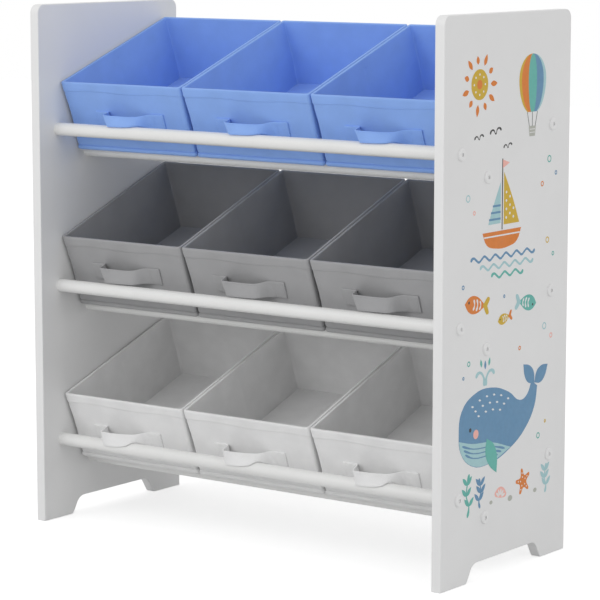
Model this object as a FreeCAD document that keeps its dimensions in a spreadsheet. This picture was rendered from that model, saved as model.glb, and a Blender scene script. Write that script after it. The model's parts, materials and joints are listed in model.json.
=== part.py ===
import FreeCAD, Part
import math
import os
import Sketcher

# A child's toy organizer: two white side panels joined by nine steel rods, which carry three
# tiers of three open fabric bins. Every tier leans forward, so the bins face the child.
#
# Millimetres. +X is to the right of someone facing the organizer, +Y goes to its back and
# +Z is up. The origin is the middle of its footprint, on the floor.

TIERS = ("bottom", "middle", "top")
COLUMNS = ("left", "centre", "right")
SIDES = ("left", "right")
ROD_KINDS = ("front_rail", "support_rod", "rear_rod")

# ---------------------------------------------------------------- driving dimensions

SIZES = {
    # side panels of painted board; lengths along the depth are counted from the front edge
    "overall_width": 566,
    "panel_height": 600,
    "panel_depth": 248,
    "panel_board": 12,
    "top_round": 10,
    "foot_length": 50,
    "arch_start": 62,
    "arch_height": 19.5,
    "foot_round": 5,
    "arch_round": 14,
    "edge_ease": 1,
    # steel rods, placed on the panels in each tier
    "rod_diameter": 15,
    "rod_wall": 1.2,
    "tier_pitch": 181.75,
    "front_rail_y": 32.7,
    "front_rail_z": 93.2,
    "support_rod_y": 83.3,
    "support_rod_z": 66,
    "rear_rod_y": 211.7,
    "rear_rod_z": 113.8,
    # bolts through the panels into threaded inserts in the rod ends
    "bolt_shank": 6,
    "bolt_length": 26,
    "bolt_head": 13.5,
    "head_rim": 1.1,
    "head_crown": 0.9,
    "crown_bevel": 1,
    "socket_flats": 4,
    "socket_depth": 1.7,
    "hole_diameter": 6.6,
    "insert_length": 22,
    "insert_bore": 6.1,
    "insert_play": 0.05,
    # fabric bins
    "bin_width": 176,
    "bin_length": 201,
    "bin_height": 85,
    "bin_gap": 2.2,
    "row_margin": 2.1,
    "bin_wall": 3,
    "bin_floor": 6,
    "bin_round": 5,
    "bin_ahead": 17.5,
    "rod_play": 0.3,
    # boards sewn into the walls and the floor of a bin
    "skin": 0.8,
    "board_play": 0.1,
    "hem_allowance": 9,
    "fold_gap": 5,
    "corner_gap": 6,
    # fabric strap handle, sewn on at both ends
    "strap_thick": 1.5,
    "strap_width": 16.5,
    "strap_low": 38.6,
    "strap_half": 50.5,
    "loop_root": 28,
    "loop_bulge": 30,
    "loop_stand": 13,
    "bend_round": 4,
    "root_round": 1.5,
}


def derived_sizes(size):
    """Places that follow from the driving dimensions."""
    run = size["rear_rod_y"] - size["support_rod_y"]
    rise = size["rear_rod_z"] - size["support_rod_z"]
    tilt = math.atan2(rise, run)
    # The bin's front bottom edge: forward of the support rod along the slope, and just
    # clear of the rod's top.
    off_rod = size["rod_diameter"] / 2 + size["rod_play"]
    edge_y = size["support_rod_y"] - size["bin_ahead"] * math.cos(tilt) - off_rod * math.sin(tilt)
    edge_z = size["support_rod_z"] - size["bin_ahead"] * math.sin(tilt) + off_rod * math.cos(tilt)
    rear_y = edge_y + size["bin_length"] * math.cos(tilt)
    return {
        "bin_tilt": math.degrees(tilt),
        "bin_edge_y": edge_y,
        "bin_edge_z": edge_z,
        "front_y": -max(rear_y, size["panel_depth"]) / 2,
    }


doc = FreeCAD.newDocument("toy_organizer")
sheet = doc.addObject("Spreadsheet::Sheet", "dims")
for row, (alias, number) in enumerate({**SIZES, **derived_sizes(SIZES)}.items(), start=1):
    sheet.set(f"A{row}", alias)
    sheet.set(f"B{row}", f"{number:.6g}")
    sheet.setAlias(f"B{row}", alias)
doc.recompute()


def value(words):
    """The value of an expression over the sheet's cells."""
    return float(sheet.evalExpression(words))


def cell(words):
    """Spell an expression over the sheet's cells: cell('bin_wall + skin')."""
    return " ".join(f"dims.{word}" if word.isidentifier() else word for word in words.split())


def bind(item, **sizes):
    """Tie properties to expressions; a double underscore in a name stands for a dot."""
    for name, words in sizes.items():
        item.setExpression(name.replace("__", "."), cell(words))


def tier_rise(tier):
    return f"{TIERS.index(tier)} * tier_pitch"


def rod_place(kind, tier):
    """Expressions for a rod's axis: its place along the depth, and its height."""
    return f"front_y + {kind}_y", f"{kind}_z + {tier_rise(tier)}"


# ---------------------------------------------------------------- sketches and features


def new_body(label):
    body = doc.addObject("PartDesign::Body", label)
    body.Label = label
    return body


def new_sketch(body, name, plane, offset=None):
    sketch = body.newObject("Sketcher::SketchObject", name)
    origin_plane = next(item for item in body.Origin.OriginFeatures if item.Role == plane)
    sketch.AttachmentSupport = [(origin_plane, "")]
    sketch.MapMode = "FlatFace"
    if offset:
        bind(sketch, AttachmentOffset__Base__z=offset)
    return sketch


def pin_point(sketch, element, corner, words_x, words_y):
    """Hold a vertex of a sketch at expressions counted from the sketch's origin."""
    for direction, words in (("DistanceX", words_x), ("DistanceY", words_y)):
        ends = (-1, 1, element, corner)
        index = sketch.addConstraint(Sketcher.Constraint(direction, *ends, value(words)))
        sketch.setExpression(f"Constraints[{index}]", cell(words))


def add_polygon(sketch, corners):
    """A closed outline whose corners are pairs of expressions."""
    points = [FreeCAD.Vector(value(x), value(y), 0) for x, y in corners]
    first = sketch.GeometryCount
    for start, end in zip(points, points[1:] + points[:1]):
        sketch.addGeometry(Part.LineSegment(start, end), False)
    count = len(points)
    for step in range(count):
        ends = (first + step, 2, first + (step + 1) % count, 1)
        sketch.addConstraint(Sketcher.Constraint("Coincident", *ends))
    for step, (words_x, words_y) in enumerate(corners):
        pin_point(sketch, first + step, 1, words_x, words_y)


def add_rectangle(sketch, left, right, front, rear):
    add_polygon(sketch, ((left, front), (right, front), (right, rear), (left, rear)))


def add_circle(sketch, diameter, words_x, words_y):
    centre = FreeCAD.Vector(value(words_x), value(words_y), 0)
    circle = Part.Circle(centre, FreeCAD.Vector(0, 0, 1), value(diameter) / 2)
    index = sketch.addGeometry(circle, False)
    rim = sketch.addConstraint(Sketcher.Constraint("Diameter", index, value(diameter)))
    sketch.setExpression(f"Constraints[{rim}]", cell(diameter))
    pin_point(sketch, index, 3, words_x, words_y)


def add_pad(body, name, sketch, length):
    pad = body.newObject("PartDesign::Pad", name)
    pad.Profile = sketch
    bind(pad, Length=length)
    sketch.Visibility = False
    doc.recompute()
    return pad


def add_pocket(body, name, sketch, depth, upwards=False):
    """Cut a sketch's outline out of the body, and make sure that it took something away."""
    before = body.Shape.Volume
    pocket = body.newObject("PartDesign::Pocket", name)
    pocket.Profile = sketch
    pocket.Reversed = upwards
    bind(pocket, Length=depth)
    doc.recompute()
    if body.Shape.Volume > before - 1:
        raise RuntimeError(f"{body.Label}: {name} cuts nothing")
    return pocket


def add_fillet(body, name, radius, chosen):
    """Round the edges or the faces' edges of the body's last feature that chosen() picks."""
    base = body.Tip
    fillet = body.newObject("PartDesign::Fillet", name)
    fillet.Base = (base, chosen(base.Shape))
    bind(fillet, Radius=radius)
    doc.recompute()
    return fillet


def edges_along(axis, *places):
    """Pick the straight edges along an axis whose other coordinates are among the places."""
    others = [index for index in range(3) if index != "xyz".index(axis)]

    def chosen(shape):
        names = []
        for index, edge in enumerate(shape.Edges, start=1):
            start, end = (vertex.Point for vertex in (edge.Vertexes[0], edge.Vertexes[-1]))
            spot = [start[other] for other in others]
            straight = math.dist(spot, [end[other] for other in others]) < 1e-6
            if straight and any(math.dist(spot, place) < 1e-3 for place in places):
                names.append(f"Edge{index}")
        if len(names) != len(places):
            raise RuntimeError(f"{len(names)} edges found for {len(places)} places")
        return names

    return chosen


def faces_across(axis):
    """Pick the two flat faces that bound a shape along an axis."""
    index = "xyz".index(axis)

    def chosen(shape):
        box = shape.BoundBox
        ends = ((box.XMin, box.YMin, box.ZMin)[index], (box.XMax, box.YMax, box.ZMax)[index])
        centres = [face.CenterOfMass[index] for face in shape.Faces]
        return [f"Face{number}" for number, centre in enumerate(centres, start=1)
                if min(abs(centre - end) for end in ends) < 1e-6]

    return chosen


# ---------------------------------------------------------------- side panels


def side_panel(side):
    """A board with eased edges, rounded top corners and an arch between its two feet."""
    body = new_body(f"{side}_side_panel")
    outline = new_sketch(body, "outline", "YZ_Plane")
    add_polygon(outline, (
        ("0", "0"),
        ("foot_length", "0"),
        ("arch_start", "arch_height"),
        ("panel_depth - arch_start", "arch_height"),
        ("panel_depth - foot_length", "0"),
        ("panel_depth", "0"),
        ("panel_depth", "panel_height"),
        ("0", "panel_height"),
    ))
    add_pad(body, "board", outline, "panel_board")
    depth, height = value("panel_depth"), value("panel_height")
    foot, arch, arch_top = value("foot_length"), value("arch_start"), value("arch_height")
    top_corners = edges_along("x", (0, height), (depth, height))
    foot_corners = edges_along("x", (foot, 0), (depth - foot, 0))
    arch_corners = edges_along("x", (arch, arch_top), (depth - arch, arch_top))
    add_fillet(body, "top_corners", "top_round", top_corners)
    add_fillet(body, "arch_corners", "arch_round", arch_corners)
    add_fillet(body, "foot_corners", "foot_round", foot_corners)
    add_fillet(body, "eased_edges", "edge_ease", faces_across("x"))
    holes = new_sketch(body, "bolt_holes", "YZ_Plane")
    for tier in TIERS:
        for kind in ROD_KINDS:
            add_circle(holes, "hole_diameter", f"{kind}_y", f"{kind}_z + {tier_rise(tier)}")
    add_pocket(body, "bolt_hole_cuts", holes, "panel_board", upwards=True)
    outer_face = "0 - overall_width / 2" if side == "left" else "overall_width / 2 - panel_board"
    bind(body, Placement__Base__x=outer_face, Placement__Base__y="front_y")
    return body


# ---------------------------------------------------------------- rods and their fasteners

ALONG_X = FreeCAD.Rotation(FreeCAD.Vector(0, 1, 0), 90)
AGAINST_X = FreeCAD.Rotation(FreeCAD.Vector(0, 1, 0), -90)
INNER_FACE = "( overall_width / 2 - panel_board )"


def primitive(kind, label, **sizes):
    item = doc.addObject(f"Part::{kind}", label)
    bind(item, **sizes)
    return item


def cut(label, base, tool):
    result = doc.addObject("Part::Cut", label)
    result.Label = label
    result.Base = base
    result.Tool = tool
    return result


def fuse(label, *shapes):
    result = doc.addObject("Part::MultiFuse", label)
    result.Shapes = shapes
    return result


def group(label, items):
    """Several separate solids that share one node."""
    result = doc.addObject("Part::Compound", label)
    result.Label = label
    result.Links = items
    return result


def lay_across(item, turn, words_x, kind, tier):
    """Turn an upright item so that its axis runs across the organizer, on a rod's axis."""
    item.Placement = FreeCAD.Placement(FreeCAD.Vector(), turn)
    words_y, words_z = rod_place(kind, tier)
    bind(item, Placement__Base__x=words_x, Placement__Base__y=words_y, Placement__Base__z=words_z)


def rod(kind, tier):
    """A steel tube that butts against both panels."""
    label = f"{kind}_{tier}"
    length = "overall_width - 2 * panel_board"
    skin = primitive("Cylinder", f"{label}_skin", Radius="rod_diameter / 2", Height=length)
    bore_radius = "rod_diameter / 2 - rod_wall"
    bore = primitive("Cylinder", f"{label}_bore", Radius=bore_radius, Height=length)
    tube = cut(label, skin, bore)
    lay_across(tube, ALONG_X, f"0 - {INNER_FACE}", kind, tier)
    return tube


def rod_insert(side, kind, tier):
    """A threaded plug pressed into the end of a rod, flush with it."""
    label = f"{side}_insert_{kind}_{tier}"
    radius = "rod_diameter / 2 - rod_wall - insert_play"
    plug = primitive("Cylinder", f"{label}_plug", Radius=radius, Height="insert_length")
    thread = primitive("Cylinder", f"{label}_thread", Radius="insert_bore / 2",
                       Height="insert_length")
    insert = cut(label, plug, thread)
    start = f"0 - {INNER_FACE}" if side == "left" else f"{INNER_FACE} - insert_length"
    lay_across(insert, ALONG_X, start, kind, tier)
    return insert


def bolt(side, kind, tier):
    """A connector bolt: a low head with a hexagon socket, and a shank into the insert."""
    label = f"{side}_bolt_{kind}_{tier}"
    shank = primitive("Cylinder", f"{label}_shank", Radius="bolt_shank / 2", Height="bolt_length",
                      Placement__Base__z="0 - bolt_length")
    rim = primitive("Cylinder", f"{label}_rim", Radius="bolt_head / 2", Height="head_rim")
    crown = primitive("Cone", f"{label}_crown", Radius1="bolt_head / 2",
                      Radius2="bolt_head / 2 - crown_bevel", Height="head_crown",
                      Placement__Base__z="head_rim")
    # A hexagon is 2 / sqrt(3) times as wide over its corners as over its flats.
    socket = primitive("Prism", f"{label}_socket", Circumradius="socket_flats / sqrt(3)",
                       Height="socket_depth",
                       Placement__Base__z="head_rim + head_crown - socket_depth")
    socket.Polygon = 6
    screw = cut(label, fuse(f"{label}_solid", shank, rim, crown), socket)
    if side == "left":
        lay_across(screw, AGAINST_X, "0 - overall_width / 2", kind, tier)
    else:
        lay_across(screw, ALONG_X, "overall_width / 2", kind, tier)
    return screw


# ---------------------------------------------------------------- fabric bins


def column_middle(column):
    """The middle of a bin across the organizer; the row starts close to the left panel."""
    index = COLUMNS.index(column)
    return f"0 - {INNER_FACE} + row_margin + bin_width / 2 + {index} * ( bin_width + bin_gap )"


def tilt_into_place(item, tier, column):
    """Place what is built upright, from its front bottom edge, on its tier's slope."""
    item.Placement = FreeCAD.Placement(
        FreeCAD.Vector(), FreeCAD.Rotation(FreeCAD.Vector(1, 0, 0), 1))
    bind(item,
         Placement__Rotation__Angle="bin_tilt",
         Placement__Base__x=column_middle(column),
         Placement__Base__y="front_y + bin_edge_y",
         Placement__Base__z=f"bin_edge_z + {tier_rise(tier)}")


def board_spans():
    """Plan of the wall boards: left, right, front and rear of each, from the bin's front."""
    half, inset = "bin_width / 2", "skin"
    outer, inner = f"{half} - {inset}", f"{half} - bin_wall + {inset}"
    near, far = "corner_gap", "bin_length - corner_gap"
    fold_near = "bin_length / 2 - fold_gap / 2"
    fold_far = "bin_length / 2 + fold_gap / 2"
    front = (f"0 - {half} + corner_gap", f"{half} - corner_gap", inset, f"bin_wall - {inset}")
    rear = (front[0], front[1], f"bin_length - bin_wall + {inset}", f"bin_length - {inset}")
    spans = [front, rear]
    for start, end in ((near, fold_near), (fold_far, far)):
        spans.append((f"0 - ( {outer} )", f"0 - ( {inner} )", start, end))
        spans.append((inner, outer, start, end))
    return spans


BOARD_LOW = "bin_floor + skin"
BOARD_TOP = "bin_height - hem_allowance"
BASE_LOW = "skin"
BASE_TOP = "bin_floor - skin"
BASE_EDGE = "bin_wall + skin"


def bin_shell(tier, column):
    """An open box of doubled fabric, with sewn-in pockets for its stiffening boards."""
    body = new_body(f"bin_{tier}_{column}")
    half = "bin_width / 2"
    plan = new_sketch(body, "plan", "XY_Plane")
    add_rectangle(plan, f"0 - {half}", half, "0", "bin_length")
    add_pad(body, "block", plan, "bin_height")
    side, rear, wall = value(half), value("bin_length"), value("bin_wall")
    outer_corners = [(x, y) for x in (-side, side) for y in (0, rear)]
    add_fillet(body, "outer_corners", "bin_round", edges_along("z", *outer_corners))
    mouth = new_sketch(body, "mouth", "XY_Plane", "bin_height")
    add_rectangle(mouth, f"0 - {half} + bin_wall", f"{half} - bin_wall",
                  "bin_wall", "bin_length - bin_wall")
    add_pocket(body, "hollow", mouth, "bin_height - bin_floor")
    inner_corners = [(x, y) for x in (wall - side, side - wall) for y in (wall, rear - wall)]
    add_fillet(body, "inner_corners", "bin_round - bin_wall", edges_along("z", *inner_corners))
    wall_pockets = new_sketch(body, "wall_pockets", "XY_Plane", BOARD_TOP)
    for span in board_spans():
        add_rectangle(wall_pockets, *span)
    add_pocket(body, "wall_pocket_cuts", wall_pockets, f"{BOARD_TOP} - ( {BOARD_LOW} )")
    base_pocket = new_sketch(body, "base_pocket", "XY_Plane", BASE_TOP)
    add_rectangle(base_pocket, f"0 - {half} + {BASE_EDGE}", f"{half} - ( {BASE_EDGE} )",
                  BASE_EDGE, f"bin_length - ( {BASE_EDGE} )")
    add_pocket(body, "base_pocket_cut", base_pocket, f"{BASE_TOP} - ( {BASE_LOW} )")
    tilt_into_place(body, tier, column)
    return body


def wall_boards(tier, column):
    """Front and rear boards, and two half boards in each side so that the bin can fold."""
    label = f"wall_boards_{tier}_{column}"
    boards = []
    for index, (left, right, front, rear) in enumerate(board_spans()):
        board = primitive(
            "Box", f"{label}_{index}",
            Length=f"{right} - ( {left} ) - 2 * board_play",
            Width=f"{rear} - ( {front} ) - 2 * board_play",
            Height=f"{BOARD_TOP} - ( {BOARD_LOW} ) - 2 * board_play",
            Placement__Base__x=f"{left} + board_play",
            Placement__Base__y=f"{front} + board_play",
            Placement__Base__z=f"{BOARD_LOW} + board_play")
        boards.append(board)
    boards = group(label, boards)
    tilt_into_place(boards, tier, column)
    return boards


def base_board(tier, column):
    """The board that keeps the bin's floor flat between the two rods below it."""
    body = new_body(f"base_board_{tier}_{column}")
    plan = new_sketch(body, "plan", "XY_Plane", f"{BASE_LOW} + board_play")
    edge = f"{BASE_EDGE} + board_play"
    add_rectangle(plan, f"0 - bin_width / 2 + {edge}", f"bin_width / 2 - ( {edge} )",
                  edge, f"bin_length - ( {edge} )")
    add_pad(body, "board", plan, f"{BASE_TOP} - ( {BASE_LOW} ) - 2 * board_play")
    tilt_into_place(body, tier, column)
    return body


def handle(tier, column):
    """A flat strap sewn to the front wall at both ends, standing off as a loop between."""
    body = new_body(f"handle_{tier}_{column}")
    path = new_sketch(body, "path", "XY_Plane", "strap_low")
    back_root, face_root = "loop_root", "loop_root + strap_thick"
    back_bend, face_bend = "loop_bulge - strap_thick", "loop_bulge"
    back_depth, face_depth = "strap_thick - loop_stand", "0 - loop_stand"
    right_half = (
        (back_bend, back_depth),
        (back_root, "0"),
        ("strap_half", "0"),
        ("strap_half", "0 - strap_thick"),
        (face_root, "0 - strap_thick"),
        (face_bend, face_depth),
    )
    left_half = [(f"0 - ( {x} )", y) for x, y in reversed(right_half)]
    add_polygon(path, (*right_half, *left_half))
    add_pad(body, "strap", path, "strap_width")
    root_x, root_y = value(face_root), -value("strap_thick")
    back_x, back_y = value(back_bend), value(back_depth)
    face_x, face_y = value(face_bend), value(face_depth)
    roots = edges_along("z", (root_x, root_y), (-root_x, root_y))
    bend_faces = edges_along("z", (face_x, face_y), (-face_x, face_y))
    bend_backs = edges_along("z", (back_x, back_y), (-back_x, back_y))
    add_fillet(body, "bend_faces", "bend_round", bend_faces)
    add_fillet(body, "bend_backs", "bend_round - strap_thick", bend_backs)
    add_fillet(body, "roots", "root_round", roots)
    tilt_into_place(body, tier, column)
    return body


# ---------------------------------------------------------------- build, check and write


def build_all():
    pieces = [side_panel(side) for side in SIDES]
    places = [(kind, tier) for tier in TIERS for kind in ROD_KINDS]
    pieces += [rod(kind, tier) for kind, tier in places]
    for side in SIDES:
        pieces.append(group(f"{side}_rod_inserts", [rod_insert(side, *place) for place in places]))
        pieces.append(group(f"{side}_panel_bolts", [bolt(side, *place) for place in places]))
    for tier in TIERS:
        for column in COLUMNS:
            for make in (bin_shell, wall_boards, base_board, handle):
                pieces.append(make(tier, column))
    doc.recompute()
    return pieces


def check(pieces):
    failed = [item.Name for item in doc.Objects if {"Invalid", "Error"} & set(item.State)]
    if failed:
        raise RuntimeError(f"failed objects: {failed}")
    for piece in pieces:
        shape = piece.Shape
        if shape.isNull() or not shape.isValid() or not shape.Solids:
            raise RuntimeError(f"{piece.Label}: not a valid solid")


def write(pieces):
    os.makedirs("parts", exist_ok=True)
    for piece in pieces:
        piece.Shape.exportStep(os.path.join("parts", f"{piece.Label}.step"))


pieces = build_all()
check(pieces)
write(pieces)
bounds = FreeCAD.BoundBox()
for piece in pieces:
    bounds.add(piece.Shape.optimalBoundingBox(False, False))
print(f"{len(pieces)} nodes, tilt {value('bin_tilt'):.2f} degrees")
print(f"size {bounds.XLength:.1f} x {bounds.YLength:.1f} x {bounds.ZLength:.1f} mm")
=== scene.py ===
# %% [markdown]
# # A child's toy organizer with nine fabric bins
# Nine steel rods join two white side panels. Three tiers of soft bins lean forward on the rods,
# each with a strap to pull it by. The CAD model is a fixed frame with the true sizes: its hard
# parts get their finish here, and new fabric parts are sewn in the places of its plain ones.

# %% Load the frame
import json
from math import atan2, cos, pi, radians, sin, tau

import bmesh
import bpy
from mathutils import Matrix, Vector


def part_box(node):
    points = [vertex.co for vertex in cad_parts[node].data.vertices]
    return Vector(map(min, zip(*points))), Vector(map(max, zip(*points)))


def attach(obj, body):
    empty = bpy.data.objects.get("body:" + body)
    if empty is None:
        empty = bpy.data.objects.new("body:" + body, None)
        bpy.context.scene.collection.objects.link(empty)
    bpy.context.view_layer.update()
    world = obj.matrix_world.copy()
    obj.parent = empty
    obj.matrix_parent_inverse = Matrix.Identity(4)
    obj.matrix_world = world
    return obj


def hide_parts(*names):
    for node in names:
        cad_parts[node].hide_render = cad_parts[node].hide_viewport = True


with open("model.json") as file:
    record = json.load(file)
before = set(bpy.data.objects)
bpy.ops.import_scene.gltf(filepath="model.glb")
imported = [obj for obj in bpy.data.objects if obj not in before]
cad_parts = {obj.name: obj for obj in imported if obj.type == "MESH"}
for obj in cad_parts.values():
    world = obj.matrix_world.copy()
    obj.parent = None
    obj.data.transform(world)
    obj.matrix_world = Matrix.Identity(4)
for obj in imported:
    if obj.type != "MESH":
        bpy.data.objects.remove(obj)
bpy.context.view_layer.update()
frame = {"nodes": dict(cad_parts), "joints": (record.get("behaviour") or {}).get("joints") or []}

MM = 0.001
TIERS = ("bottom", "middle", "top")
COLUMNS = ("left", "centre", "right")
NODES = frame["nodes"]

# %% [markdown]
# ## The camera
# A long lens from a few steps away keeps the upright edges almost parallel. The camera stands to
# the right of the front, a little above the top bins. A Track To constraint could aim it, but
# two angles and a place say the same thing, and other views can then move it freely.

# %% Camera
CAMERA_PLACE = Vector((1.7547, -2.3454, 0.7000))
CAMERA_AZIMUTH = radians(36.704)
CAMERA_DOWN = radians(8.349)
LENS_MM = 157.188
SENSOR_MM = 36.0

towards = Vector((
    -sin(CAMERA_AZIMUTH) * cos(CAMERA_DOWN),
    cos(CAMERA_AZIMUTH) * cos(CAMERA_DOWN),
    -sin(CAMERA_DOWN),
))
facing = towards.to_track_quat("-Z", "Y").to_euler()
bpy.ops.object.camera_add(location=CAMERA_PLACE, rotation=facing)
camera = bpy.context.object
camera.data.lens = LENS_MM
camera.data.sensor_width = SENSOR_MM
bpy.context.scene.camera = camera
bpy.context.scene.view_settings.view_transform = "Standard"
print("camera looks along", [round(part, 3) for part in towards])

# %% [markdown]
# ## A few hand tools
# Blender's operators work on whatever is selected, and a loaded model arrives selected all over.
# So each step clears the selection first, and then picks what it needs by place or by normal.

# %% Tools for modelling


def deselect():
    """Leave edit mode and select nothing."""
    if bpy.context.mode != "OBJECT":
        bpy.ops.object.mode_set(mode="OBJECT")
    bpy.ops.object.select_all(action="DESELECT")


def choose(*pieces):
    """Select these pieces and nothing else; the first one is active."""
    deselect()
    for piece in pieces:
        piece.select_set(True)
    bpy.context.view_layer.objects.active = pieces[0]


def show(name, data):
    """A new object in the scene that holds a mesh or a curve."""
    piece = bpy.data.objects.new(name, data)
    bpy.context.scene.collection.objects.link(piece)
    return piece


def edit(piece, kind="VERT", action="DESELECT"):
    """Open one piece in edit mode, with nothing or, for SELECT, everything selected."""
    choose(piece)
    bpy.ops.object.mode_set(mode="EDIT")
    bpy.ops.mesh.select_mode(type=kind)
    bpy.ops.mesh.select_all(action=action)


def pick(piece, kind, test):
    """In edit mode, select exactly the vertices, edges or faces that pass a test."""
    bpy.ops.mesh.select_mode(type=kind)
    bpy.ops.mesh.select_all(action="DESELECT")
    mesh = bmesh.from_edit_mesh(piece.data)
    items = {"VERT": mesh.verts, "EDGE": mesh.edges, "FACE": mesh.faces}[kind]
    found = [item for item in items if test(item)]
    for item in found:
        item.select_set(True)
    mesh.select_flush_mode()
    bmesh.update_edit_mesh(piece.data)
    return len(found)


def cut_across(axis, places):
    """In edit mode, cut the whole mesh by planes square to an axis, and keep both sides."""
    for place in places:
        bpy.ops.mesh.select_all(action="SELECT")
        point = [0, 0, 0]
        point["xyz".index(axis)] = place
        normal = [float(letter == axis) for letter in "xyz"]
        bpy.ops.mesh.bisect(plane_co=point, plane_no=normal)


def evenly(start, end, step):
    """Places from start to end, ends left out, about one step apart."""
    count = max(1, round(abs(end - start) / step))
    return [start + (end - start) * index / count for index in range(1, count)]


def near(a, b, slack=0.05 * MM):
    """Whether two places along an axis are the same, but for rounding."""
    return abs(a - b) < slack


def share_of(value, start, end):
    """Zero at the start, one at the end, and held there outside."""
    return max(0, min(1, (value - start) / (end - start)))


def use(piece, kind, **settings):
    """Add a modifier, set it up and apply it."""
    choose(piece)
    modifier = piece.modifiers.new(kind.title(), kind)
    for name, value in settings.items():
        setattr(modifier, name, value)
    bpy.ops.object.modifier_apply(modifier=modifier.name)


def faces_of(piece):
    """How many faces a piece has, in edit mode or out of it."""
    piece.update_from_editmode()
    return len(piece.data.polygons)


# %% [markdown]
# ## Tools for finishes
# A finish is a small tree of nodes: a pattern, the colour and the gloss that it drives, and a
# bump. The pattern is read in metres from Object coordinates on the hard parts. On cloth it is
# read from the piece's own UV map, so that it follows the walls.

# %% Tools for materials
GRAIN_RANGE = (0.3, 0.7)
GLOSS_RANGE = (-0.04, 0.06)


def new_finish(name, roughness, **sockets):
    """A material with one Principled shader; the sockets hold what is even all over."""
    finish = bpy.data.materials.new(name)
    finish.use_nodes = True
    shader = finish.node_tree.nodes["Principled BSDF"]
    shader.inputs["Roughness"].default_value = roughness
    for socket, value in sockets.items():
        shader.inputs[socket.replace("_", " ")].default_value = value
    return finish, finish.node_tree, shader


def add_node(tree, kind, *links, **values):
    """A node with its values set and its inputs linked: links are (input name, output)."""
    node = tree.nodes.new(kind)
    for name, value in values.items():
        if hasattr(node, name):
            setattr(node, name, value)
        else:
            node.inputs[name.replace("_", " ")].default_value = value
    for name, output in links:
        tree.links.new(output, node.inputs[name])
    return node


def grain(tree, where, scale, detail=2.0):
    """A soft random pattern; scale counts its grains per metre."""
    noise = add_node(tree, "ShaderNodeTexNoise", ("Vector", where), Scale=scale, Detail=detail)
    return noise.outputs["Fac"]


def stretch(tree, pattern, from_low, from_high, low, high):
    """A pattern's range, mapped to run from low to high."""
    return add_node(tree, "ShaderNodeMapRange", ("Value", pattern), From_Min=from_low,
                    From_Max=from_high, To_Min=low, To_Max=high).outputs["Result"]


def spread(tree, pattern, low, high):
    """A grain's usual range, mapped to run from low to high."""
    return stretch(tree, pattern, *GRAIN_RANGE, low, high)


def combine(tree, operation, first, second):
    """Two outputs put together by a Math node."""
    node = add_node(tree, "ShaderNodeMath", operation=operation)
    tree.links.new(first, node.inputs[0])
    tree.links.new(second, node.inputs[1])
    return node.outputs[0]


def tint(tree, colour, factor):
    """A colour that gets darker and lighter with a factor around one."""
    mix = add_node(tree, "ShaderNodeVectorMath", operation="SCALE")
    mix.inputs[0].default_value = colour[:3]
    tree.links.new(factor, mix.inputs["Scale"])
    return mix.outputs["Vector"]


def raise_bumps(tree, shader, height, depth):
    """Bump the surface by a height pattern, as deep as depth in metres."""
    bump = add_node(tree, "ShaderNodeBump", ("Height", height), Distance=depth, Strength=1.0)
    tree.links.new(bump.outputs["Normal"], shader.inputs["Normal"])


def hard_finish(name, colour, roughness, mottle, gloss_grain, skin_grain, depth, **sockets):
    """A finish with uneven colour, gloss and height; mottle is a grain and its range of shade."""
    finish, tree, shader = new_finish(name, roughness, **sockets)
    where = add_node(tree, "ShaderNodeTexCoord").outputs["Object"]
    scale, detail, low, high = mottle
    shade = spread(tree, grain(tree, where, scale, detail), low, high)
    tree.links.new(tint(tree, colour, shade), shader.inputs["Base Color"])
    least, most = (roughness + change for change in GLOSS_RANGE)
    gloss = spread(tree, grain(tree, where, gloss_grain), least, most)
    tree.links.new(gloss, shader.inputs["Roughness"])
    raise_bumps(tree, shader, grain(tree, where, skin_grain), depth)
    return finish


# %% [markdown]
# ## Painted board
# The panels are fibreboard in satin white. A plain white would look like paper: real paint keeps
# a fine orange-peel skin and a slightly uneven gloss, so both are added.

# %% Painted board
PAINT_WHITE = (0.80, 0.80, 0.80, 1)
PAINT_MOTTLE = (14, 2.0, 0.985, 1.01)

board_paint = hard_finish("painted_board", PAINT_WHITE, 0.4, PAINT_MOTTLE,
                          gloss_grain=60, skin_grain=700, depth=0.03 * MM)
print("made", board_paint.name)

# %% [markdown]
# ## Coated steel and bare fasteners
# The rods' powder coat is glossier than the board's paint. The threaded inserts in their ends
# are bright zinc, and the bolt heads are sprayed white to vanish on the panel.

# %% Rods, inserts and bolts
COAT_WHITE = (0.79, 0.79, 0.78, 1)
BOLT_WHITE = (0.82, 0.82, 0.82, 1)
ZINC = (0.62, 0.62, 0.60, 1)
FINE_MOTTLE = (25, 2.0, 0.98, 1.01)


def speckled(name, colour, roughness, grains, depth, **sockets):
    """A hard finish whose gloss and height follow the same fine skin."""
    return hard_finish(name, colour, roughness, FINE_MOTTLE, grains, grains, depth, **sockets)


powder_coat = speckled("powder_coat", COAT_WHITE, 0.3, grains=900, depth=0.02 * MM)
bolt_paint = speckled("bolt_paint", BOLT_WHITE, 0.38, grains=1500, depth=0.02 * MM)
zinc = speckled("zinc", ZINC, 0.32, grains=2500, depth=0.01 * MM, Metallic=1.0)
print("made", ", ".join(finish.name for finish in (powder_coat, bolt_paint, zinc)))

# %% [markdown]
# ## Grey board
# The stiffening boards inside the bins are pressed from waste paper: brownish grey, with long
# fibres. They sit in sewn pockets, so only a cut bin would show them.

# %% Grey board
BOARD_GREY = (0.36, 0.33, 0.29, 1)
pressed_board = speckled("pressed_board", BOARD_GREY, 0.85, grains=400, depth=0.05 * MM)

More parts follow.
